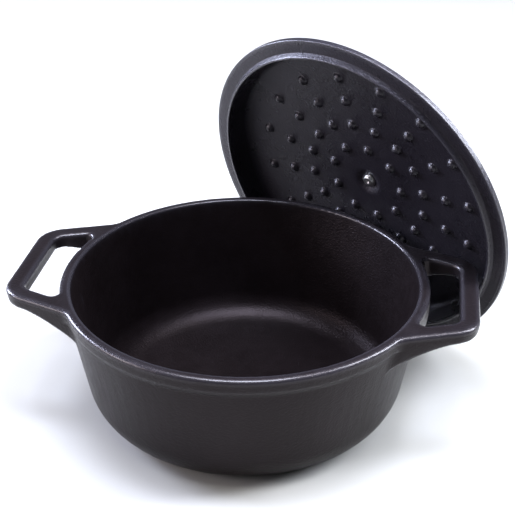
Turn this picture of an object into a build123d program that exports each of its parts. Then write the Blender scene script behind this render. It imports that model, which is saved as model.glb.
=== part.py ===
"""Round cast iron dutch oven: an open pot with two loop handles, and its domed lid.

Frame: the origin is the centre of the pot's flat base, +Z is up and +X runs along the
handles. Lengths are in millimetres, angles in degrees.

The lid stands on the same surface as the pot, behind it and to the right, and leans
forward over the rim with its hollow side facing the pot. Each lid piece is drawn in the
lid's own frame (origin at the middle of the flange's underside, +Z out through the knob)
and is then carried to that leaning place.
"""
from build123d import *
from math import atan, cos, degrees, hypot, radians, sin, sqrt
import os

os.makedirs("parts", exist_ok=True)

# ---------------------------------------------------------------- driving dimensions
# Pot
POT_HEIGHT = 99.2
RIM_RADIUS = 130.0
WALL_TOP_RADIUS = 128.3  # outside of the wall, carried up to the rim plane
WALL_DRAFT = 0.1813  # radius lost for each millimetre of depth, inside and outside
MOUTH_RADIUS = 122.5  # inside of the wall, carried up to the rim plane
BASE_THICKNESS = 5.0
BASE_CORNER_WIDTH = 27.0  # outside corner between wall and base, measured radially
BASE_CORNER_HEIGHT = 24.5
BASE_CORNER_FULLNESS = 1.15
BASE_INNER_ROUND = 21.0
MOUTH_ROUND = 1.4
EDGE_ROUND = 2.8  # top edges of the rim and the handles
BAND_HEIGHT = 12.5  # thicker band under the rim
BAND_FOOT_RADIUS = 126.8

# Handles, both cast in one with the pot
HANDLE_SPAN = 328.0
HANDLE_HALF_WIDTH = 47.3  # at the outer bar, measured to the unrounded corner
HANDLE_FLARE = 0.37  # widening of each side per millimetre towards the pot
HANDLE_BAR = 13.8  # width of the bar, seen from above
HANDLE_THICKNESS = 9.6
HANDLE_CORNER = 22.0
HANDLE_ROOT = 100.0  # distance from the centre at which the drawn handle ends, inside the wall
HANDLE_ROOT_BLEND = 14.0
OPENING_CORNER = 9.0
OPENING_ROOT_CORNER = 4.5
UNDERSIDE = [(130.0, 14.0), (106.0, 25.7), (80.0, 46.0)]  # distance out, depth under the rim plane
UNDERSIDE_START = 2.0  # how far out into the bar the underside starts to fall

# Lid casting, radii and heights in the lid's own frame
LID_RADIUS = 131.0
FLANGE = 4.3
FLANGE_ROUND = 0.7
LID_WALL = 4.6
BEAD_RADIUS = 121.3  # foot of the locating bead
BEAD_CREST_RADIUS = 119.2
BEAD_HEIGHT = 3.2
BEAD_ROUND = 0.6
HOLLOW_MOUTH_RADIUS = 117.8
HOLLOW_FLOOR_RADIUS = 114.0
HOLLOW_DEPTH = 21.0
HOLLOW_EDGE_DEPTH = 15.9
HOLLOW_ROUND = 5.0
SHOULDER_RADIUS = 117.8
SHOULDER_ROUND = 12.0
NECK_RADIUS = 120.9
NECK_ROUND = 3.0
DIMPLE_RADIUS = 10.5  # shallow recess for the screw, in the middle of the hollow
DIMPLE_SEAT_RADIUS = 6.5
DIMPLE_DEPTH = 2.2
DIMPLE_ROUND = 8.0
PAD_RADIUS = 15.0  # flat seat for the knob, on top
PAD_HEIGHT = 2.0
PAD_ROUND = 0.8
PAD_FOOT_ROUND = 2.0

# Basting bumps: radius of the ring, number in it, angle of the first
BUMP_RINGS = [(31.0, 9, 38.8), (51.5, 16, 15.5), (72.0, 16, 15.5), (92.3, 16, 15.5)]
BUMP_RADIUS = 4.1
BUMP_SINK = 0.9  # depth of each bump's centre inside the casting
BUMP_CUT = 30.0  # latitude at which a bump's ball ends, so that it stays within the wall

# Knob, screw and washer. Corners of the knob are (radius, height above its seat, rounding,
# share of an inset by which the corner rises); a rounding below zero is a hollow one.
KNOB_CORNERS = [
    (11.5, 0.0, 0.0, 0.0),
    (11.5, 2.2, 1.6, 0.0),
    (8.8, 5.6, -3.0, 0.0),
    (8.8, 12.0, -4.0, 0.5),
    (19.5, 17.5, 2.4, 1.0),
    (19.5, 23.6, 3.2, -1.0),
]
KNOB_HEIGHT = 27.0
KNOB_TOP_FLAT = 3.0
KNOB_CROWN_SHARE = 0.27  # share of the crown's drop reached halfway to its edge
KNOB_SKIN = 1.2
PLATE_RADIUS = 10.25
PLATE_THICKNESS = 1.6
INSERT_RADIUS = 5.4
INSERT_LENGTH = 14.0
INSERT_BORE_DEPTH = 12.0
SCREW_RADIUS = 2.5
SCREW_LENGTH = 14.4  # under the head
SCREW_CHAMFER = 0.6
SCREW_HEAD_RADIUS = 4.3
SCREW_HEAD_HEIGHT = 1.9
SCREW_HEAD_ROUND = 1.4
SOCKET_FLATS = 3.0
SOCKET_DEPTH = 1.1
WASHER_RADIUS = 5.6
WASHER_THICKNESS = 0.7
HOLE_CLEARANCE = 0.3
THREAD_CLEARANCE = 0.03

# Leaning place of the lid
LID_AZIMUTH = 57.91  # heading of the lid's outward axis, from +X
LID_ELEVATION = 15.22  # rise of that axis above the horizontal
LID_CENTRE_X = 67.35
LID_CENTRE_Y = 83.15
FLOOR_GAP = 0.1  # under the lid's lowest point

EMBED = 0.1  # overlap that keeps joined solids from meeting face to face
SCREW_SEAT = HOLLOW_DEPTH + DIMPLE_DEPTH
KNOB_SEAT = HOLLOW_DEPTH + LID_WALL + PAD_HEIGHT
DRAFT_ANGLE = degrees(atan(WALL_DRAFT))
SLANT = sqrt(1 + HANDLE_FLARE**2)


# ---------------------------------------------------------------- helpers
def turned(outline):
    """Solid of revolution about Z of a closed outline in XZ, with X as the radius."""
    return revolve(outline, Axis.Z)


def in_xz(points):
    return [(x, 0, z) for x, z in points]


def rounded_at(face, x, z, radius):
    """The face with its corner nearest to (x, z) rounded."""
    return fillet(face.vertices().sort_by_distance((x, 0, z))[0], radius)


def outline_xz(points, rounds=()):
    """Closed face through (radius, height) points; rounds are (point index, radius)."""
    face = make_face(Polyline(*in_xz(points), close=True))
    for index, radius in rounds:
        face = rounded_at(face, *points[index], radius)
    return face


def ring(outer, inner, low, high):
    """Plain ring between two heights, or a disc when inner is 0."""
    return turned(outline_xz([(inner, low), (outer, low), (outer, high), (inner, high)]))


def near_circle(point, radius):
    return abs(hypot(point.X, point.Y) - radius) < 0.01


def beyond(point, radius):
    return hypot(point.X, point.Y) > radius


# ---------------------------------------------------------------- pot
def wall_radius(height):
    """Outside radius of the drafted wall at a height above the base."""
    return WALL_TOP_RADIUS - WALL_DRAFT * (POT_HEIGHT - height)


def inner_radius(height):
    """Inside radius of the drafted wall at a height above the base."""
    return MOUTH_RADIUS - WALL_DRAFT * (POT_HEIGHT - height)


def pot_block():
    """The pot's outside as a solid, with the foot of its rim band, without its handles."""
    base_radius = wall_radius(BASE_CORNER_HEIGHT) - BASE_CORNER_WIDTH
    corner_top = (wall_radius(BASE_CORNER_HEIGHT), 0, BASE_CORNER_HEIGHT)
    corner = Spline((base_radius, 0, 0), corner_top, tangents=[(1, 0, 0), (WALL_DRAFT, 0, 1)],
                    tangent_scalars=[BASE_CORNER_FULLNESS, BASE_CORNER_FULLNESS])
    band_foot = POT_HEIGHT - BAND_HEIGHT
    slab_foot_radius = RIM_RADIUS - WALL_DRAFT * HANDLE_THICKNESS
    side = in_xz([
        (wall_radius(band_foot), band_foot),
        (BAND_FOOT_RADIUS, band_foot),
        (slab_foot_radius - EMBED, POT_HEIGHT - HANDLE_THICKNESS),
        (WALL_TOP_RADIUS, POT_HEIGHT),
    ])
    edges = Line((0, 0, 0), (base_radius, 0, 0)) + corner
    edges += Polyline(corner_top, *side, (0, 0, POT_HEIGHT), (0, 0, 0))
    return turned(make_face(edges))


def pot_cavity():
    """The inside of the pot, with the rounding of its mouth."""
    above = POT_HEIGHT + BASE_THICKNESS
    return turned(outline_xz([
        (0, BASE_THICKNESS),
        (inner_radius(BASE_THICKNESS), BASE_THICKNESS),
        (MOUTH_RADIUS, POT_HEIGHT),
        (RIM_RADIUS, POT_HEIGHT),
        (RIM_RADIUS, above),
        (0, above),
    ], [(1, BASE_INNER_ROUND), (2, MOUTH_ROUND)]))


def trapezium(out, half_width):
    """Handle-shaped face, half_width wide at x = out and flaring towards the pot."""
    half_root = half_width + HANDLE_FLARE * (out - HANDLE_ROOT)
    return make_face(Polyline((out, -half_width), (out, half_width),
                              (HANDLE_ROOT, half_root), (HANDLE_ROOT, -half_root), close=True))


def plan(disc_radius):
    """Both handles and the pot's own disc seen from above, with the roots blended."""
    out = HANDLE_SPAN / 2
    right = trapezium(out, HANDLE_HALF_WIDTH)
    face = Circle(disc_radius) + right + mirror(right, Plane.YZ)
    corners = face.vertices().filter_by(lambda v: abs(v.X) > out - EMBED)
    face = fillet(corners, HANDLE_CORNER)
    roots = face.vertices().filter_by(lambda v: near_circle(v, disc_radius))
    return fillet(roots, HANDLE_ROOT_BLEND)


def opening():
    """Finger opening of the right-hand handle, seen from above."""
    out = HANDLE_SPAN / 2 - HANDLE_BAR
    half_width = HANDLE_HALF_WIDTH + HANDLE_FLARE * HANDLE_BAR - HANDLE_BAR * SLANT
    face = trapezium(out, half_width) - Circle(RIM_RADIUS)
    corners = face.vertices().filter_by(lambda v: v.X > out - EMBED)
    face = fillet(corners, OPENING_CORNER)
    roots = face.vertices().filter_by(lambda v: near_circle(v, RIM_RADIUS))
    return fillet(roots, OPENING_ROOT_CORNER)


def gusset_limit():
    """Everything above the underside of the right-hand handle."""
    start = (HANDLE_SPAN / 2 - HANDLE_BAR + UNDERSIDE_START, POT_HEIGHT - HANDLE_THICKNESS)
    curve = [start] + [(out, POT_HEIGHT - depth) for out, depth in UNDERSIDE]
    underside = Spline(*in_xz(curve), tangents=[(-1, 0, 0), (-1, 0, -1)])
    root = curve[-1]
    outside = Polyline(*in_xz([start, (HANDLE_SPAN, start[1]), (HANDLE_SPAN, POT_HEIGHT),
                               (root[0], POT_HEIGHT), root]))
    return extrude(make_face(outside + underside), RIM_RADIUS, both=True)


def pot():
    """The pot casting: wall, base, rim band and both handles in one piece."""
    top = Pos(0, 0, POT_HEIGHT)
    down = (0, 0, -1)
    depth = UNDERSIDE[-1][1]
    slab = extrude(top * plan(RIM_RADIUS), HANDLE_THICKNESS, dir=down, taper=DRAFT_ANGLE)
    below = extrude(top * plan(WALL_TOP_RADIUS - EMBED), depth, dir=down, taper=DRAFT_ANGLE)
    gusset = below & gusset_limit()
    opening_cut = extrude(top * opening(), depth, dir=down)
    body = pot_block() + slab + gusset + mirror(gusset, Plane.YZ)
    body = body - opening_cut - mirror(opening_cut, Plane.YZ) - pot_cavity()
    top_edges = body.edges().filter_by_position(Axis.Z, POT_HEIGHT, POT_HEIGHT)
    return fillet(top_edges.filter_by(lambda e: beyond(e @ 0.5, WALL_TOP_RADIUS)), EDGE_ROUND)


# ---------------------------------------------------------------- lid casting
def dome(radius, crown):
    """Height above the flange of a shallow dome that is crown high at the middle."""
    drop = HOLLOW_DEPTH - HOLLOW_EDGE_DEPTH
    curve = (HOLLOW_FLOOR_RADIUS**2 + drop**2) / (2 * drop)
    return crown - curve + sqrt(curve**2 - radius**2)


def dome_arc(start, end, crown):
    """Arc of that dome, in XZ, from one radius to another."""
    return ThreePointArc(*in_xz([(r, dome(r, crown)) for r in (start, (start + end) / 2, end)]))


def lid_shell():
    """The lid casting without its bumps, turned in one piece with its screw hole."""
    crown = HOLLOW_DEPTH + LID_WALL
    pad_foot = PAD_RADIUS + PAD_HEIGHT
    hole = SCREW_RADIUS + HOLE_CLEARANCE
    top_arc = dome_arc(pad_foot, SHOULDER_RADIUS, crown)
    floor_arc = dome_arc(HOLLOW_FLOOR_RADIUS, DIMPLE_RADIUS, HOLLOW_DEPTH)
    side = in_xz([(NECK_RADIUS, FLANGE), (LID_RADIUS, FLANGE), (LID_RADIUS, 0), (BEAD_RADIUS, 0),
                  (BEAD_CREST_RADIUS, -BEAD_HEIGHT), (HOLLOW_MOUTH_RADIUS, -BEAD_HEIGHT)])
    middle = in_xz([(DIMPLE_SEAT_RADIUS, SCREW_SEAT), (hole, SCREW_SEAT), (hole, KNOB_SEAT),
                    (PAD_RADIUS, KNOB_SEAT)])
    edges = top_arc + Polyline(top_arc @ 1, *side, floor_arc @ 0)
    section = make_face(edges + floor_arc + Polyline(floor_arc @ 1, *middle, top_arc @ 0))
    for x, z, radius in [
        (PAD_RADIUS, KNOB_SEAT, PAD_ROUND),
        (pad_foot, dome(pad_foot, crown), PAD_FOOT_ROUND),
        (SHOULDER_RADIUS, dome(SHOULDER_RADIUS, crown), SHOULDER_ROUND),
        (NECK_RADIUS, FLANGE, NECK_ROUND),
        (LID_RADIUS, FLANGE, FLANGE_ROUND),
        (LID_RADIUS, 0, FLANGE_ROUND),
        (BEAD_RADIUS, 0, BEAD_ROUND),
        (BEAD_CREST_RADIUS, -BEAD_HEIGHT, BEAD_ROUND),
        (HOLLOW_MOUTH_RADIUS, -BEAD_HEIGHT, BEAD_ROUND),
        (HOLLOW_FLOOR_RADIUS, HOLLOW_EDGE_DEPTH, HOLLOW_ROUND),
        (DIMPLE_RADIUS, HOLLOW_DEPTH, DIMPLE_ROUND),
    ]:
        section = rounded_at(section, x, z, radius)
    return turned(section)


def bumps():
    """The basting bumps, which let condensed steam drip back evenly."""
    ball = Sphere(BUMP_RADIUS, arc_size2=BUMP_CUT, align=(Align.CENTER, Align.CENTER, Align.NONE))
    balls = []
    for ring_radius, count, first in BUMP_RINGS:
        height = dome(ring_radius, HOLLOW_DEPTH) + BUMP_SINK
        for index in range(count):
            turn = radians(first + index * 360 / count)
            place = Pos(ring_radius * cos(turn), ring_radius * sin(turn), height)
            balls.append(place * ball)
    return balls


def lid():
    """The lid casting with its bumps, in the lid's own frame."""
    return lid_shell() + bumps()


# ---------------------------------------------------------------- knob and fixing
def knob_body(inset):
    """The knob as a solid above its seat, shrunk inwards by inset."""
    points = [(radius - inset, height + rise * inset) for radius, height, _, rise in KNOB_CORNERS]
    edge_radius, edge_height = points[-1]
    top = KNOB_HEIGHT - inset
    halfway = ((edge_radius + KNOB_TOP_FLAT) / 2, top - KNOB_CROWN_SHARE * (top - edge_height))
    crown = ThreePointArc(*in_xz([points[-1], halfway, (KNOB_TOP_FLAT, top)]))
    side = Polyline(*in_xz([(0, 0)] + points))
    face = make_face(side + crown + Polyline(*in_xz([(KNOB_TOP_FLAT, top), (0, top), (0, 0)])))
    for (x, z), (_, _, rounding, _) in zip(points, KNOB_CORNERS):
        if rounding:
            face = rounded_at(face, x, z, abs(rounding - inset))
    return turned(face)


def knob_shell():
    """Pressed stainless skin, open at the foot."""
    return knob_body(0) - knob_body(KNOB_SKIN)


def knob_plate():
    return ring(PLATE_RADIUS, INSERT_RADIUS, 0, PLATE_THICKNESS)


def knob_insert():
    """Threaded boss inside the knob, with a blind hole for the screw."""
    bore = ring(SCREW_RADIUS + THREAD_CLEARANCE, 0, 0, INSERT_BORE_DEPTH)
    return ring(INSERT_RADIUS, 0, 0, INSERT_LENGTH) - bore


def washer():
    return ring(WASHER_RADIUS, SCREW_RADIUS + HOLE_CLEARANCE, -WASHER_THICKNESS, 0)


def screw():
    """Low button-head screw that stands head down, with its head's seat at height 0."""
    head = turned(outline_xz([(0, 0), (0, -SCREW_HEAD_HEIGHT), (SCREW_HEAD_RADIUS, -SCREW_HEAD_HEIGHT),
                              (SCREW_HEAD_RADIUS, 0)], [(2, SCREW_HEAD_ROUND)]))
    hexagon = RegularPolygon(SOCKET_FLATS / 2, 6, major_radius=False)
    socket = extrude(Pos(0, 0, -SCREW_HEAD_HEIGHT) * hexagon, SOCKET_DEPTH)
    shank = turned(outline_xz([(0, 0), (SCREW_RADIUS, 0), (SCREW_RADIUS, SCREW_LENGTH - SCREW_CHAMFER),
                               (SCREW_RADIUS - SCREW_CHAMFER, SCREW_LENGTH), (0, SCREW_LENGTH)]))
    return head - socket + shank


# ---------------------------------------------------------------- assembly
def leaning():
    """Place of the lid's frame: standing on its flange, tipped over the pot."""
    azimuth = radians(LID_AZIMUTH)
    rise = radians(LID_ELEVATION)
    outward = (cos(rise) * cos(azimuth), cos(rise) * sin(azimuth), sin(rise))
    across = (sin(azimuth), -cos(azimuth), 0)
    centre_z = ((LID_RADIUS - FLANGE_ROUND) * cos(rise) - FLANGE_ROUND * sin(rise)
                + FLANGE_ROUND + FLOOR_GAP)
    return Plane((LID_CENTRE_X, LID_CENTRE_Y, centre_z), x_dir=across, z_dir=outward).location


def parts():
    """Every piece in its place, by node name."""
    lean = leaning()
    knob_seat = lean * Pos(0, 0, KNOB_SEAT)
    washer_seat = lean * Pos(0, 0, SCREW_SEAT)
    screw_seat = washer_seat * Pos(0, 0, -WASHER_THICKNESS)
    return {
        "pot": pot(),
        "lid": lean * lid(),
        "knob_shell": knob_seat * knob_shell(),
        "knob_plate": knob_seat * knob_plate(),
        "knob_insert": knob_seat * knob_insert(),
        "knob_washer": washer_seat * washer(),
        "knob_screw": screw_seat * screw(),
    }


for name, piece in parts().items():
    export_step(piece, f"parts/{name}.step")
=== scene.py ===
"""Looks of a cast iron dutch oven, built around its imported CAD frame. Lengths are in metres."""

from math import acos, atan2, ceil, cos, hypot, pi, radians, sin, sqrt, tan

import bmesh
import bpy
import numpy as np
from mathutils import Matrix, Vector, noise
from mathutils.geometry import delaunay_2d_cdt


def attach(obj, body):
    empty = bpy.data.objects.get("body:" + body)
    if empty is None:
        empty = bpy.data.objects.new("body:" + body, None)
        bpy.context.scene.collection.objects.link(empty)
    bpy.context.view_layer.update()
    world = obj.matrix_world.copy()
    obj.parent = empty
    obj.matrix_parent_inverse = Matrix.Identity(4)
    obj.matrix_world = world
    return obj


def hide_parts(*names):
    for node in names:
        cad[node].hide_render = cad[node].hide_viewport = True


MM = 0.001

# The lid's own frame: origin at the middle of the flange's underside, +Z out through the knob
LID_CENTRE = (0.06735, 0.08315, 0.126346)
LID_AZIMUTH = radians(57.91)
LID_ELEVATION = radians(15.22)

# Lid casting, radii and heights in millimetres in that frame
LID_RADIUS = 131.0
FLANGE = 4.3
FLANGE_ROUND = 0.7
LID_WALL = 4.6
BEAD_RADIUS = 121.3
BEAD_CREST_RADIUS = 119.2
BEAD_HEIGHT = 3.2
BEAD_ROUND = 0.6
HOLLOW_MOUTH_RADIUS = 117.8
HOLLOW_FLOOR_RADIUS = 114.0
HOLLOW_DEPTH = 21.0
HOLLOW_EDGE_DEPTH = 15.9
HOLLOW_ROUND = 5.0
SHOULDER_RADIUS = 117.8
SHOULDER_ROUND = 12.0
NECK_RADIUS = 120.9
NECK_ROUND = 3.0
DIMPLE_RADIUS = 10.5
DIMPLE_ROUND = 8.0
DIMPLE_SEAT_RADIUS = 6.5
DIMPLE_DEPTH = 2.2
PAD_RADIUS = 15.0
PAD_HEIGHT = 2.0
PAD_ROUND = 0.8
PAD_FOOT_ROUND = 2.0
SEAT_ROUND = 0.5
HOLE_RADIUS = 2.8
HOLE_ROUND = 0.2
ROOF_EDGE_RADIUS = 96.0  # where the turned side ends and the roof's triangles start, outside
FLOOR_EDGE_RADIUS = 104.0  # the same inside the hollow

# Basting bumps: radius of the ring, number in it, angle of the first
BUMP_RINGS = [(31.0, 9, 38.8), (51.5, 16, 15.5), (72.0, 16, 15.5), (92.3, 16, 15.5)]
BUMP_RADIUS = 4.1
BUMP_SINK = 0.9
BUMP_FOOT_ROUND = 1.1

# Knob. Corners are (radius, height above its seat, rounding, share of an inset by which the corner
# rises); a rounding below zero is a hollow one. The crown is (radius, drop below the top).
KNOB_CROWN = [(0.0, 0.0), (3.0, 0.0), (8.0, 0.35), (13.0, 1.15)]
KNOB_CORNERS = [
    (19.5, 23.6, 3.2, -1.0),
    (19.5, 17.5, 2.4, 1.0),
    (8.8, 12.0, -4.0, 0.5),
    (8.8, 5.6, -3.0, 0.0),
    (11.5, 2.2, 1.6, 0.0),
    (11.5, 0.0, 0.0, 0.0),
]
KNOB_HEIGHT = 27.0
KNOB_SKIN = 1.2
KNOB_SEAT = HOLLOW_DEPTH + LID_WALL + PAD_HEIGHT

# How finely the meshes are made, in millimetres or as a number of pieces
VOXEL = 0.8
POT_TRIANGLES = 190_000
POT_SOFTENING = 4
SIDE_STEP, SIDE_SEGMENTS = 2.6, 360
SEAT_STEP, SEAT_SEGMENTS = 1.6, 96
KNOB_STEP, KNOB_SEGMENTS = 1.5, 144
FLOOR_PITCH = 2.8
ROOF_PITCH = 3.6
BUMP_SPOKES = 20
ARC_STEP = radians(13)

# Waviness of the castings, and the radii between which an edge counts as blunt or sharp
WAVE_HEIGHT = 0.05
WAVE_PITCH = 9.0
BLUNT_EDGE = 14.0
SHARP_EDGE = 2.5

# Camera, at the photograph's viewing angle
CAMERA_PLACE = (0.11184, -0.68034, 0.49485)
CAMERA_AZIMUTH = radians(8.61)
CAMERA_ELEVATION = radians(28.91)
CAMERA_ROLL = radians(0.07)
CAMERA_LENS = 78.73
SENSOR_WIDTH = 36.0

# Studio. Softboxes are name, place, target, size, watts and colour.
FLOOR_SIZE = 12.0
FLOOR_DROP = 0.02 * MM
FLOOR_TONES = ((0.338, 0.330, 0.310, 1), (0.350, 0.342, 0.321, 1))
SKY_COLOUR = (0.86, 0.90, 1.0, 1)
SKY_STRENGTH = 0.15
SUN_STRENGTH = 3.0
SUN_SPREAD = radians(40)
SOFTBOXES = [
    ("overhead", (0.0, -0.10, 1.50), (0, 0, 0.08), (0.70, 0.35), 38.0, (0.72, 0.79, 1.0)),
    ("right_side", (1.126, 0.20, 1.03), (0.12, 0.06, 0.2), (0.30, 1.2), 66.0, (0.84, 0.89, 1.0)),
    ("left_side", (-1.3, -0.60, 0.60), (0, 0, 0.06), (0.6, 0.7), 13.0, (1.0, 0.92, 0.96)),
    ("left_back", (-1.15, 0.30, 0.55), (0.06, 0.08, 0.14), (0.46, 0.40), 38.0, (0.72, 0.78, 1.0)),
]


# ---------------------------------------------------------------- mesh helpers
def new_object(name, mesh, matrix=None):
    """A piece at the frame's origin, with its place in its mesh as the CAD nodes have."""
    if matrix is not None:
        mesh.transform(matrix)
    piece = bpy.data.objects.new(name, mesh)
    bpy.context.scene.collection.objects.link(piece)
    return piece


def apply_modifiers(piece):
    graph = bpy.context.evaluated_depsgraph_get()
    mesh = bpy.data.meshes.new_from_object(piece.evaluated_get(graph))
    piece.modifiers.clear()
    piece.data = mesh


def shade_smooth(mesh):
    mesh.polygons.foreach_set("use_smooth", [True] * len(mesh.polygons))


def vertex_rows(mesh, field):
    """One row for each vertex of its co or its normal."""
    flat = np.zeros(len(mesh.vertices) * 3, np.float32)
    mesh.vertices.foreach_get(field, flat)
    return flat.reshape(-1, 3).astype(float)


def set_coordinates(mesh, points):
    mesh.vertices.foreach_set("co", points.astype(np.float32).ravel())
    mesh.update()


def edge_ends(mesh):
    flat = np.zeros(len(mesh.edges) * 2, np.int32)
    mesh.edges.foreach_get("vertices", flat)
    return flat[0::2], flat[1::2]


def spread(ends, values, count):
    """Mean of each vertex's neighbours."""
    a, b = ends
    degree = np.bincount(a, minlength=count) + np.bincount(b, minlength=count)
    columns = []
    for column in values.T:
        total = np.bincount(a, weights=column[b], minlength=count)
        total += np.bincount(b, weights=column[a], minlength=count)
        columns.append(total / np.maximum(degree, 1))
    return np.stack(columns, axis=1)


def soften(mesh, steps):
    """Moves each vertex by each step in turn, as a share of the way to the mean of its neighbours."""
    ends = edge_ends(mesh)
    points = vertex_rows(mesh, "co")
    for step in steps:
        points += step * (spread(ends, points, len(points)) - points)
    set_coordinates(mesh, points)


def unevenness(mesh):
    """Slight waviness of a sand casting, as real displacement."""
    points = vertex_rows(mesh, "co")
    outward = vertex_rows(mesh, "normal")
    height, pitch = WAVE_HEIGHT * MM, WAVE_PITCH * MM
    waves = np.array([noise.noise(Vector(p) / pitch) + 0.5 * noise.noise(Vector(p) / pitch * 2.3)
                      for p in points])
    set_coordinates(mesh, points + outward * (height * waves)[:, None])


def mark_edges(mesh, rounds):
    """Attribute for edge wear and the painted highlight along edges: 0 where the surface is flat or
    hollow, 1 where it turns outwards tightly, spread out over some rounds of neighbours."""
    blunt, sharp = BLUNT_EDGE * MM, SHARP_EDGE * MM
    a, b = edge_ends(mesh)
    points = vertex_rows(mesh, "co")
    outward = vertex_rows(mesh, "normal")
    along = points[b] - points[a]
    length = np.maximum((along**2).sum(1), 1e-12)
    bend = ((outward[b] - outward[a]) * along).sum(1) / length
    count = len(points)
    highest = np.zeros(count)
    np.maximum.at(highest, a, bend)
    np.maximum.at(highest, b, bend)
    share = np.clip((highest - 1 / blunt) / (1 / sharp - 1 / blunt), 0, 1)
    share = share.reshape(-1, 1)
    for _ in range(rounds):
        share = 0.5 * share + 0.5 * spread((a, b), share, count)
    layer = mesh.attributes.new("edge_wear_and_highlight", "FLOAT", "POINT")
    layer.data.foreach_set("value", share.ravel().astype(np.float32))


def rounded(corners, step):
    """Outline through (radius, height, rounding) corners, as points no further apart than step."""
    points = []
    for index, (x, z, rounding) in enumerate(corners):
        here = Vector((x, z))
        if rounding == 0 or index in (0, len(corners) - 1):
            points.append(here)
            continue
        before = (Vector(corners[index - 1][:2]) - here).normalized()
        after = (Vector(corners[index + 1][:2]) - here).normalized()
        half = acos(max(-1.0, min(1.0, before.dot(after)))) / 2
        centre = here + (before + after).normalized() * (rounding / sin(half))
        start = here + before * (rounding / tan(half)) - centre
        end = here + after * (rounding / tan(half)) - centre
        turn = atan2(start.x * end.y - start.y * end.x, start.dot(end))
        count = max(2, ceil(abs(turn) / ARC_STEP))
        for k in range(count + 1):
            angle = turn * k / count
            points.append(centre + Vector((start.x * cos(angle) - start.y * sin(angle),
                                           start.x * sin(angle) + start.y * cos(angle))))
    fine = [points[0]]
    for point in points[1:]:
        first = fine[-1]
        count = max(1, ceil((point - first).length / step))
        fine += [first.lerp(point, k / count) for k in range(1, count + 1)]
    return [(p.x, p.y) for p in fine]


def turn_outline(mesh, outline, segments):
    """Rings of vertices for an outline of (radius, height) points in millimetres, joined by quads."""
    angles = [2 * pi * k / segments for k in range(segments)]
    rings = []
    for radius, height in outline:
        if radius < 1e-6:
            rings.append([mesh.verts.new((0, 0, height * MM))])
            continue
        rings.append([mesh.verts.new((radius * cos(t) * MM, radius * sin(t) * MM, height * MM))
                      for t in angles])
    for low, high in zip(rings, rings[1:]):
        for k in range(segments):
            after = (k + 1) % segments
            if len(low) == 1:
                mesh.faces.new((low[0], high[after], high[k]))
            elif len(high) == 1:
                mesh.faces.new((low[k], low[after], high[0]))
            else:
                mesh.faces.new((low[k], low[after], high[after], high[k]))
    return rings


def fill_annulus(mesh, outer, inner, loose, height):
    """Triangles between two rings of vertices, through loose (x, y) points in millimetres, each at
    height(x, y)."""
    flat = [(v.co.x / MM, v.co.y / MM) for v in outer + inner] + loose
    edges = [(k, (k + 1) % len(outer)) for k in range(len(outer))]
    edges += [(len(outer) + k, len(outer) + (k + 1) % len(inner)) for k in range(len(inner))]
    found = delaunay_2d_cdt([Vector(p) for p in flat], edges, [], 0, 1e-6)
    hole = hypot(*flat[len(outer)]) - 0.01
    ring = outer + inner
    verts = []
    for point, origins in zip(found[0], found[3]):
        first = origins[0]
        verts.append(ring[first] if first < len(ring)
                     else mesh.verts.new((point.x * MM, point.y * MM, height(point.x, point.y) * MM)))
    for face in found[2]:
        middle = sum((found[0][k] for k in face), Vector((0, 0))) / 3
        if middle.length > hole * cos(pi / len(inner)):
            mesh.faces.new([verts[k] for k in face])


def finish_mesh(mesh, name):
    """Welds, orients outwards and turns a bmesh into a smooth mesh."""
    bmesh.ops.remove_doubles(mesh, verts=mesh.verts, dist=1e-7)
    bmesh.ops.recalc_face_normals(mesh, faces=mesh.faces)
    made = bpy.data.meshes.new(name)
    mesh.to_mesh(made)
    mesh.free()
    shade_smooth(made)
    return made


# ---------------------------------------------------------------- pot
def pot_casting(source):
    """The pot with the soft radii of a casting at the handle roots and edges."""
    piece = new_object("pot_casting", source.data.copy())
    piece.data.materials.clear()
    remesh = piece.modifiers.new("skin", "REMESH")
    remesh.mode = "VOXEL"
    remesh.voxel_size = VOXEL * MM
    apply_modifiers(piece)
    soften(piece.data, (0.5,))
    soften(piece.data, (0.5, -0.52) * POT_SOFTENING)  # in, then back out, so that it keeps its size
    thin = piece.modifiers.new("thin", "DECIMATE")
    thin.ratio = POT_TRIANGLES / (2 * len(piece.data.polygons))
    apply_modifiers(piece)
    unevenness(piece.data)
    mark_edges(piece.data, 2)
    shade_smooth(piece.data)
    return piece


# ---------------------------------------------------------------- lid
def lid_frame():
    """Matrix from the lid's own frame, in metres, to the shared frame."""
    outward = Vector((cos(LID_ELEVATION) * cos(LID_AZIMUTH), cos(LID_ELEVATION) * sin(LID_AZIMUTH),
                      sin(LID_ELEVATION)))
    across = Vector((sin(LID_AZIMUTH), -cos(LID_AZIMUTH), 0))
    turned = Matrix((across, outward.cross(across), outward)).transposed().to_4x4()
    return Matrix.Translation(LID_CENTRE) @ turned


def dome(radius, crown):
    """Height above the flange of a shallow dome that is crown high at the middle."""
    drop = HOLLOW_DEPTH - HOLLOW_EDGE_DEPTH
    curve = (HOLLOW_FLOOR_RADIUS**2 + drop**2) / (2 * drop)
    return crown - curve + sqrt(curve**2 - radius**2)


def bump_centres():
    centres = []
    for ring_radius, count, first in BUMP_RINGS:
        for index in range(count):
            turn = radians(first + index * 360 / count)
            centres.append((ring_radius * cos(turn), ring_radius * sin(turn)))
    return centres


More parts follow.
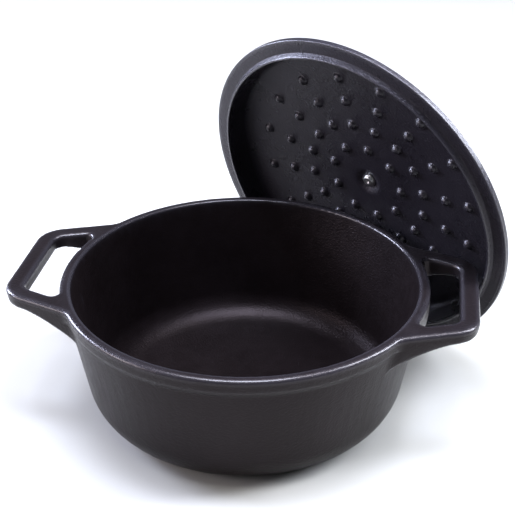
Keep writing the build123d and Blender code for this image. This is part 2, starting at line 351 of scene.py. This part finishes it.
def bump_profile():
    """Distances from a bump's middle at which it is sampled, and the function of its height above
    the hollow."""
    reach = BUMP_RADIUS + BUMP_FOOT_ROUND
    foot = sqrt(reach**2 - (BUMP_FOOT_ROUND + BUMP_SINK) ** 2)
    tangent = foot * BUMP_RADIUS / reach
    steps = [BUMP_RADIUS * sin(radians(a)) for a in (17, 34, 50, 63)] + [tangent]
    steps += [foot - BUMP_FOOT_ROUND * sin(radians(a)) for a in (48, 28, 10)] + [foot + 0.4]

    def height(distance):
        if distance < tangent:
            return sqrt(BUMP_RADIUS**2 - distance**2) - BUMP_SINK
        if distance < foot:
            return BUMP_FOOT_ROUND - sqrt(BUMP_FOOT_ROUND**2 - (foot - distance) ** 2)
        return 0.0

    return steps, height


def ring_points(radii, pitch, keep=lambda x, y: True):
    """Points on circles about the middle, about pitch apart."""
    points = []
    for row, radius in enumerate(radii):
        count = max(12, round(2 * pi * radius / pitch))
        for k in range(count):
            turn = 2 * pi * (k + 0.5 * (row % 2)) / count
            x, y = radius * cos(turn), radius * sin(turn)
            if keep(x, y):
                points.append((x, y))
    return points


def hollow_floor(mesh, outer, inner, low, high):
    """Domed floor of the hollow with its bumps."""
    centres = np.array(bump_centres())
    steps, bump_height = bump_profile()
    clear = steps[-1] + 1.0

    def nearest(x, y):
        return float(np.sqrt(((centres - (x, y)) ** 2).sum(1)).min())

    radii = np.arange(low + FLOOR_PITCH, high - 0.4 * FLOOR_PITCH, FLOOR_PITCH)
    loose = ring_points(radii, FLOOR_PITCH, lambda x, y: nearest(x, y) > clear)
    for x, y in centres:
        loose.append((x, y))
        for row, distance in enumerate(steps):
            for k in range(BUMP_SPOKES):
                turn = 2 * pi * (k + 0.5 * (row % 2)) / BUMP_SPOKES
                loose.append((x + distance * cos(turn), y + distance * sin(turn)))
    fill_annulus(mesh, outer, inner, [(float(x), float(y)) for x, y in loose],
                 lambda x, y: dome(hypot(x, y), HOLLOW_DEPTH) - bump_height(nearest(x, y)))


def lid_casting(matrix):
    """Domed lid with its flange, locating bead, hollow, bumps and knob seat."""
    crown = HOLLOW_DEPTH + LID_WALL
    outside = rounded([
        (ROOF_EDGE_RADIUS, dome(ROOF_EDGE_RADIUS, crown), 0),
        (SHOULDER_RADIUS, dome(SHOULDER_RADIUS, crown), SHOULDER_ROUND),
        (NECK_RADIUS, FLANGE, NECK_ROUND),
        (LID_RADIUS, FLANGE, FLANGE_ROUND),
        (LID_RADIUS, 0, FLANGE_ROUND),
        (BEAD_RADIUS, 0, BEAD_ROUND),
        (BEAD_CREST_RADIUS, -BEAD_HEIGHT, BEAD_ROUND),
        (HOLLOW_MOUTH_RADIUS, -BEAD_HEIGHT, BEAD_ROUND),
        (HOLLOW_FLOOR_RADIUS, HOLLOW_EDGE_DEPTH, HOLLOW_ROUND),
        (FLOOR_EDGE_RADIUS, dome(FLOOR_EDGE_RADIUS, HOLLOW_DEPTH), 0),
    ], SIDE_STEP)
    seat_foot = PAD_RADIUS + PAD_HEIGHT
    middle = rounded([
        (DIMPLE_RADIUS + 6, dome(DIMPLE_RADIUS + 6, HOLLOW_DEPTH), 0),
        (DIMPLE_RADIUS, dome(DIMPLE_RADIUS, HOLLOW_DEPTH), DIMPLE_ROUND),
        (DIMPLE_SEAT_RADIUS, HOLLOW_DEPTH + DIMPLE_DEPTH, SEAT_ROUND),
        (HOLE_RADIUS, HOLLOW_DEPTH + DIMPLE_DEPTH, HOLE_ROUND),
        (HOLE_RADIUS, KNOB_SEAT, HOLE_ROUND),
        (PAD_RADIUS, KNOB_SEAT, PAD_ROUND),
        (seat_foot, dome(seat_foot, crown), PAD_FOOT_ROUND),
        (seat_foot + 5, dome(seat_foot + 5, crown), 0),
    ], SEAT_STEP)
    mesh = bmesh.new()
    outer_rings = turn_outline(mesh, outside, SIDE_SEGMENTS)
    inner_rings = turn_outline(mesh, middle, SEAT_SEGMENTS)
    hollow_floor(mesh, outer_rings[-1], inner_rings[0], middle[0][0], outside[-1][0])
    roof_rows = np.arange(middle[-1][0] + 4, outside[0][0] - 2, ROOF_PITCH)
    fill_annulus(mesh, outer_rings[0], inner_rings[-1], ring_points(roof_rows, ROOF_PITCH),
                 lambda x, y: dome(hypot(x, y), crown))
    made = finish_mesh(mesh, "lid_casting")
    unevenness(made)
    mark_edges(made, 1)
    return new_object("lid_casting", made, matrix)


def knob_side(inset):
    """Outline of the knob from its top down to its foot, shrunk inwards by inset."""
    crown = [(max(0.0, radius - inset) if drop else radius, KNOB_HEIGHT - inset - drop, 0)
             for radius, drop in KNOB_CROWN]
    side = [(radius - inset, height + rise * inset, abs(rounding - inset) if rounding else 0)
            for radius, height, rounding, rise in KNOB_CORNERS]
    return rounded(crown + side, KNOB_STEP)


def knob_skin(matrix):
    """Pressed stainless knob, hollow and open at the foot."""
    outline = knob_side(0) + knob_side(KNOB_SKIN)[::-1]
    mesh = bmesh.new()
    turn_outline(mesh, [(radius, height + KNOB_SEAT) for radius, height in outline],
                 KNOB_SEGMENTS)
    return new_object("knob_skin", finish_mesh(mesh, "knob_skin"), matrix)


# ---------------------------------------------------------------- materials
class Nodes:
    """Short way to build a node tree: each call adds a node and links or sets its inputs."""

    def __init__(self, name):
        self.material = bpy.data.materials.new(name)
        self.material.use_nodes = True
        self.tree = self.material.node_tree
        self.shader = self.tree.nodes["Principled BSDF"]
        self.place = self.add("ShaderNodeTexCoord").outputs["Object"]

    def add(self, kind, settings=None, **inputs):
        made = self.tree.nodes.new(kind)
        for key, value in (settings or {}).items():
            setattr(made, key, value)
        for key, value in inputs.items():
            self.put(made.inputs[key.replace("_", " ")], value)
        return made

    def put(self, socket, value):
        if isinstance(value, bpy.types.NodeSocket):
            self.tree.links.new(value, socket)
        else:
            socket.default_value = value

    def noise(self, scale, detail=2.0, roughness=0.5):
        made = self.add("ShaderNodeTexNoise", Scale=scale, Detail=detail, Roughness=roughness,
                        Vector=self.place)
        return made.outputs["Fac"]

    def math(self, operation, *values):
        made = self.add("ShaderNodeMath", {"operation": operation})
        for socket, value in zip(made.inputs, values):
            self.put(socket, value)
        return made.outputs[0]

    def ramp(self, value, low, high, to_low=0.0, to_high=1.0):
        made = self.add("ShaderNodeMapRange", Value=value)
        made.inputs["From Min"].default_value = low
        made.inputs["From Max"].default_value = high
        made.inputs["To Min"].default_value = to_low
        made.inputs["To Max"].default_value = to_high
        return made.outputs[0]

    def blend(self, share, first, second):
        made = self.add("ShaderNodeMix", {"data_type": "RGBA"})
        self.put(made.inputs["Factor"], share)
        self.put(made.inputs["A"], first)
        self.put(made.inputs["B"], second)
        return made.outputs["Result"]


def cast_iron(name, dark, light, wear_and_highlight, relief_height, gloss, tint, roughness):
    """Oil-seasoned sand-cast iron: near black, fine grained, a little polished along its edges, where
    a lighter bluish colour stands partly for wear and partly for a painted highlight.
    """
    nodes = Nodes(name)
    mottle = nodes.noise(26.0, 1.0, 0.4)
    patches = nodes.noise(120.0, 1.0, 0.4)
    grain = nodes.noise(1600.0, 2.0, 0.6)
    coarse = nodes.noise(700.0, 2.0, 0.5)
    edge = nodes.add("ShaderNodeAttribute", {"attribute_name": "edge_wear_and_highlight"}).outputs["Fac"]
    tone = nodes.math("ADD", nodes.math("MULTIPLY", mottle, 0.6), nodes.math("MULTIPLY", patches, 0.4))
    body = nodes.blend(nodes.ramp(tone, 0.30, 0.70), dark, light)
    speckle = nodes.ramp(grain, 0.62, 0.78)
    body = nodes.blend(nodes.math("MULTIPLY", speckle, 0.2), body, wear_and_highlight)
    # Edges are lightened towards the bluish wear colour: partly real wear, partly a painted highlight
    # along the edges.
    body = nodes.blend(nodes.math("MULTIPLY", edge, 0.25), body, wear_and_highlight)
    nodes.put(nodes.shader.inputs["Base Color"], body)
    rough = nodes.ramp(tone, 0.35, 0.65, roughness, roughness + 0.06)
    rough = nodes.math("SUBTRACT", rough, nodes.math("MULTIPLY", edge, 0.12))
    nodes.put(nodes.shader.inputs["Roughness"], rough)
    nodes.shader.inputs["Specular IOR Level"].default_value = gloss
    nodes.shader.inputs["Specular Tint"].default_value = tint
    nodes.put(nodes.shader.inputs["Coat Weight"], nodes.math("MULTIPLY", edge, 0.5))
    nodes.shader.inputs["Coat Roughness"].default_value = 0.24
    relief = nodes.math("ADD", nodes.math("MULTIPLY", grain, 0.5), coarse)
    bump = nodes.add("ShaderNodeBump", Strength=0.6, Distance=relief_height, Height=relief)
    nodes.put(nodes.shader.inputs["Normal"], bump.outputs["Normal"])
    return nodes.material


def brushed_steel(name, tone, roughness, rings):
    """Stainless steel with fine marks around the lid's axis."""
    nodes = Nodes(name)
    back = lid_frame().inverted()
    local = nodes.add("ShaderNodeMapping", Vector=nodes.place, Location=back.to_translation(),
                      Rotation=back.to_euler())
    split = nodes.add("ShaderNodeSeparateXYZ", Vector=local.outputs[0])
    x, y, z = split.outputs
    squares = [nodes.math("MULTIPLY", value, value) for value in (x, y)]
    radius = nodes.math("SQRT", nodes.math("ADD", *squares))
    lined = nodes.add("ShaderNodeCombineXYZ", X=nodes.math("MULTIPLY", radius, rings),
                      Y=nodes.math("MULTIPLY", z, rings)).outputs[0]
    brush = nodes.add("ShaderNodeTexNoise", Scale=1.0, Detail=4.0, Roughness=0.7,
                      Vector=lined).outputs["Fac"]
    smear = nodes.noise(90.0, 3.0)
    shade = nodes.ramp(brush, 0.3, 0.7, 0.86, 1.0)
    nodes.put(nodes.shader.inputs["Base Color"],
              nodes.blend(shade, tuple(0.7 * c for c in tone[:3]) + (1,), tone))
    nodes.put(nodes.shader.inputs["Roughness"],
              nodes.math("ADD", nodes.ramp(brush, 0.3, 0.7, roughness - 0.04, roughness + 0.05),
                         nodes.ramp(smear, 0.4, 0.7, 0.0, 0.05)))
    nodes.shader.inputs["Metallic"].default_value = 1.0
    bump = nodes.add("ShaderNodeBump", Strength=0.25, Distance=0.00004, Height=brush)
    nodes.put(nodes.shader.inputs["Normal"], bump.outputs["Normal"])
    return nodes.material


def pale_floor():
    nodes = Nodes("pale_floor")
    nodes.put(nodes.shader.inputs["Base Color"],
              nodes.blend(nodes.ramp(nodes.noise(3.0), 0.3, 0.7), *FLOOR_TONES))
    nodes.shader.inputs["Roughness"].default_value = 0.9
    nodes.shader.inputs["Specular IOR Level"].default_value = 0.1
    return nodes.material


def dress(piece, material):
    piece.data.materials.clear()
    piece.data.materials.append(material)


# ---------------------------------------------------------------- studio
def floor():
    mesh = bmesh.new()
    bmesh.ops.create_grid(mesh, x_segments=4, y_segments=4, size=FLOOR_SIZE / 2)
    made = bpy.data.meshes.new("floor")
    mesh.to_mesh(made)
    mesh.free()
    piece = new_object("floor", made, Matrix.Translation((0, 0, -FLOOR_DROP)))
    dress(piece, pale_floor())


def softbox(name, place, target, size, power, colour):
    light = bpy.data.lights.new(name, "AREA")
    light.shape = "RECTANGLE"
    light.size, light.size_y = size
    light.energy = power
    light.color = colour
    lamp = bpy.data.objects.new(name, light)
    bpy.context.scene.collection.objects.link(lamp)
    lamp.location = place
    lamp.rotation_mode = "QUATERNION"
    lamp.rotation_quaternion = (Vector(target) - Vector(place)).to_track_quat("-Z", "Y")


def studio():
    world = bpy.data.worlds.new("studio")
    world.use_nodes = True
    background = world.node_tree.nodes["Background"]
    background.inputs["Color"].default_value = SKY_COLOUR
    background.inputs["Strength"].default_value = SKY_STRENGTH
    bpy.context.scene.world = world
    bpy.context.scene.view_settings.view_transform = "Standard"
    for settings in SOFTBOXES:
        softbox(*settings)
    fill = bpy.data.lights.new("fill", "SUN")
    fill.energy = SUN_STRENGTH
    fill.angle = SUN_SPREAD
    sun = bpy.data.objects.new("fill", fill)
    bpy.context.scene.collection.objects.link(sun)


def camera():
    data = bpy.data.cameras.new("camera")
    data.lens = CAMERA_LENS
    data.sensor_width = SENSOR_WIDTH
    data.clip_start, data.clip_end = 0.01, 50.0
    eye = bpy.data.objects.new("camera", data)
    bpy.context.scene.collection.objects.link(eye)
    flat = cos(CAMERA_ELEVATION)
    back = Vector((sin(CAMERA_AZIMUTH) * flat, -cos(CAMERA_AZIMUTH) * flat, sin(CAMERA_ELEVATION)))
    level = Vector((cos(CAMERA_AZIMUTH), sin(CAMERA_AZIMUTH), 0))
    right = (Matrix.Rotation(CAMERA_ROLL, 3, back) @ level).normalized()
    turned = Matrix((right, back.cross(right), back)).transposed().to_4x4()
    eye.matrix_world = Matrix.Translation(CAMERA_PLACE) @ turned
    bpy.context.scene.camera = eye


# ---------------------------------------------------------------- the object
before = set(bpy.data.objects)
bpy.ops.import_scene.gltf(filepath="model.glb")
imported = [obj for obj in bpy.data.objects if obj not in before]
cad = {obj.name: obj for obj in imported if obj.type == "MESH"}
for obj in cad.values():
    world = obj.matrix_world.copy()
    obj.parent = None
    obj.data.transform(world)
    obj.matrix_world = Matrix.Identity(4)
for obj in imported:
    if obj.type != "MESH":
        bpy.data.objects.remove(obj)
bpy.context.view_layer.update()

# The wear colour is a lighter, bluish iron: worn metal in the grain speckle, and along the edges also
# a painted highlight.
pot_iron = cast_iron("pot_iron", dark=(0.0042, 0.0029, 0.0031, 1), light=(0.0062, 0.0044, 0.0048, 1),
                     wear_and_highlight=(0.05, 0.048, 0.06, 1), relief_height=0.5 * MM, gloss=0.14,
                     tint=(1.0, 0.82, 0.86, 1), roughness=0.31)
lid_iron = cast_iron("lid_iron", dark=(0.0098, 0.0086, 0.0116, 1), light=(0.0132, 0.0116, 0.0154, 1),
                     wear_and_highlight=(0.05, 0.048, 0.062, 1), relief_height=0.8 * MM, gloss=0.28,
                     tint=(0.97, 0.91, 1.0, 1), roughness=0.26)
knob_steel = brushed_steel("knob_steel", tone=(0.62, 0.62, 0.63, 1), roughness=0.26, rings=9000.0)
fixing_steel = brushed_steel("fixing_steel", tone=(0.60, 0.60, 0.60, 1), roughness=0.30, rings=6000.0)

pot = pot_casting(cad["pot"])
dress(pot, pot_iron)
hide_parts("pot")
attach(pot, "pot")

lid = lid_casting(lid_frame())
dress(lid, lid_iron)
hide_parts("lid")
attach(lid, "lid")

knob = knob_skin(lid_frame())
dress(knob, knob_steel)
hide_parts("knob_shell")
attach(knob, "lid")

for name, material in (("knob_plate", knob_steel), ("knob_insert", fixing_steel),
                       ("knob_washer", fixing_steel), ("knob_screw", fixing_steel)):
    dress(cad[name], material)

floor()
studio()
camera()
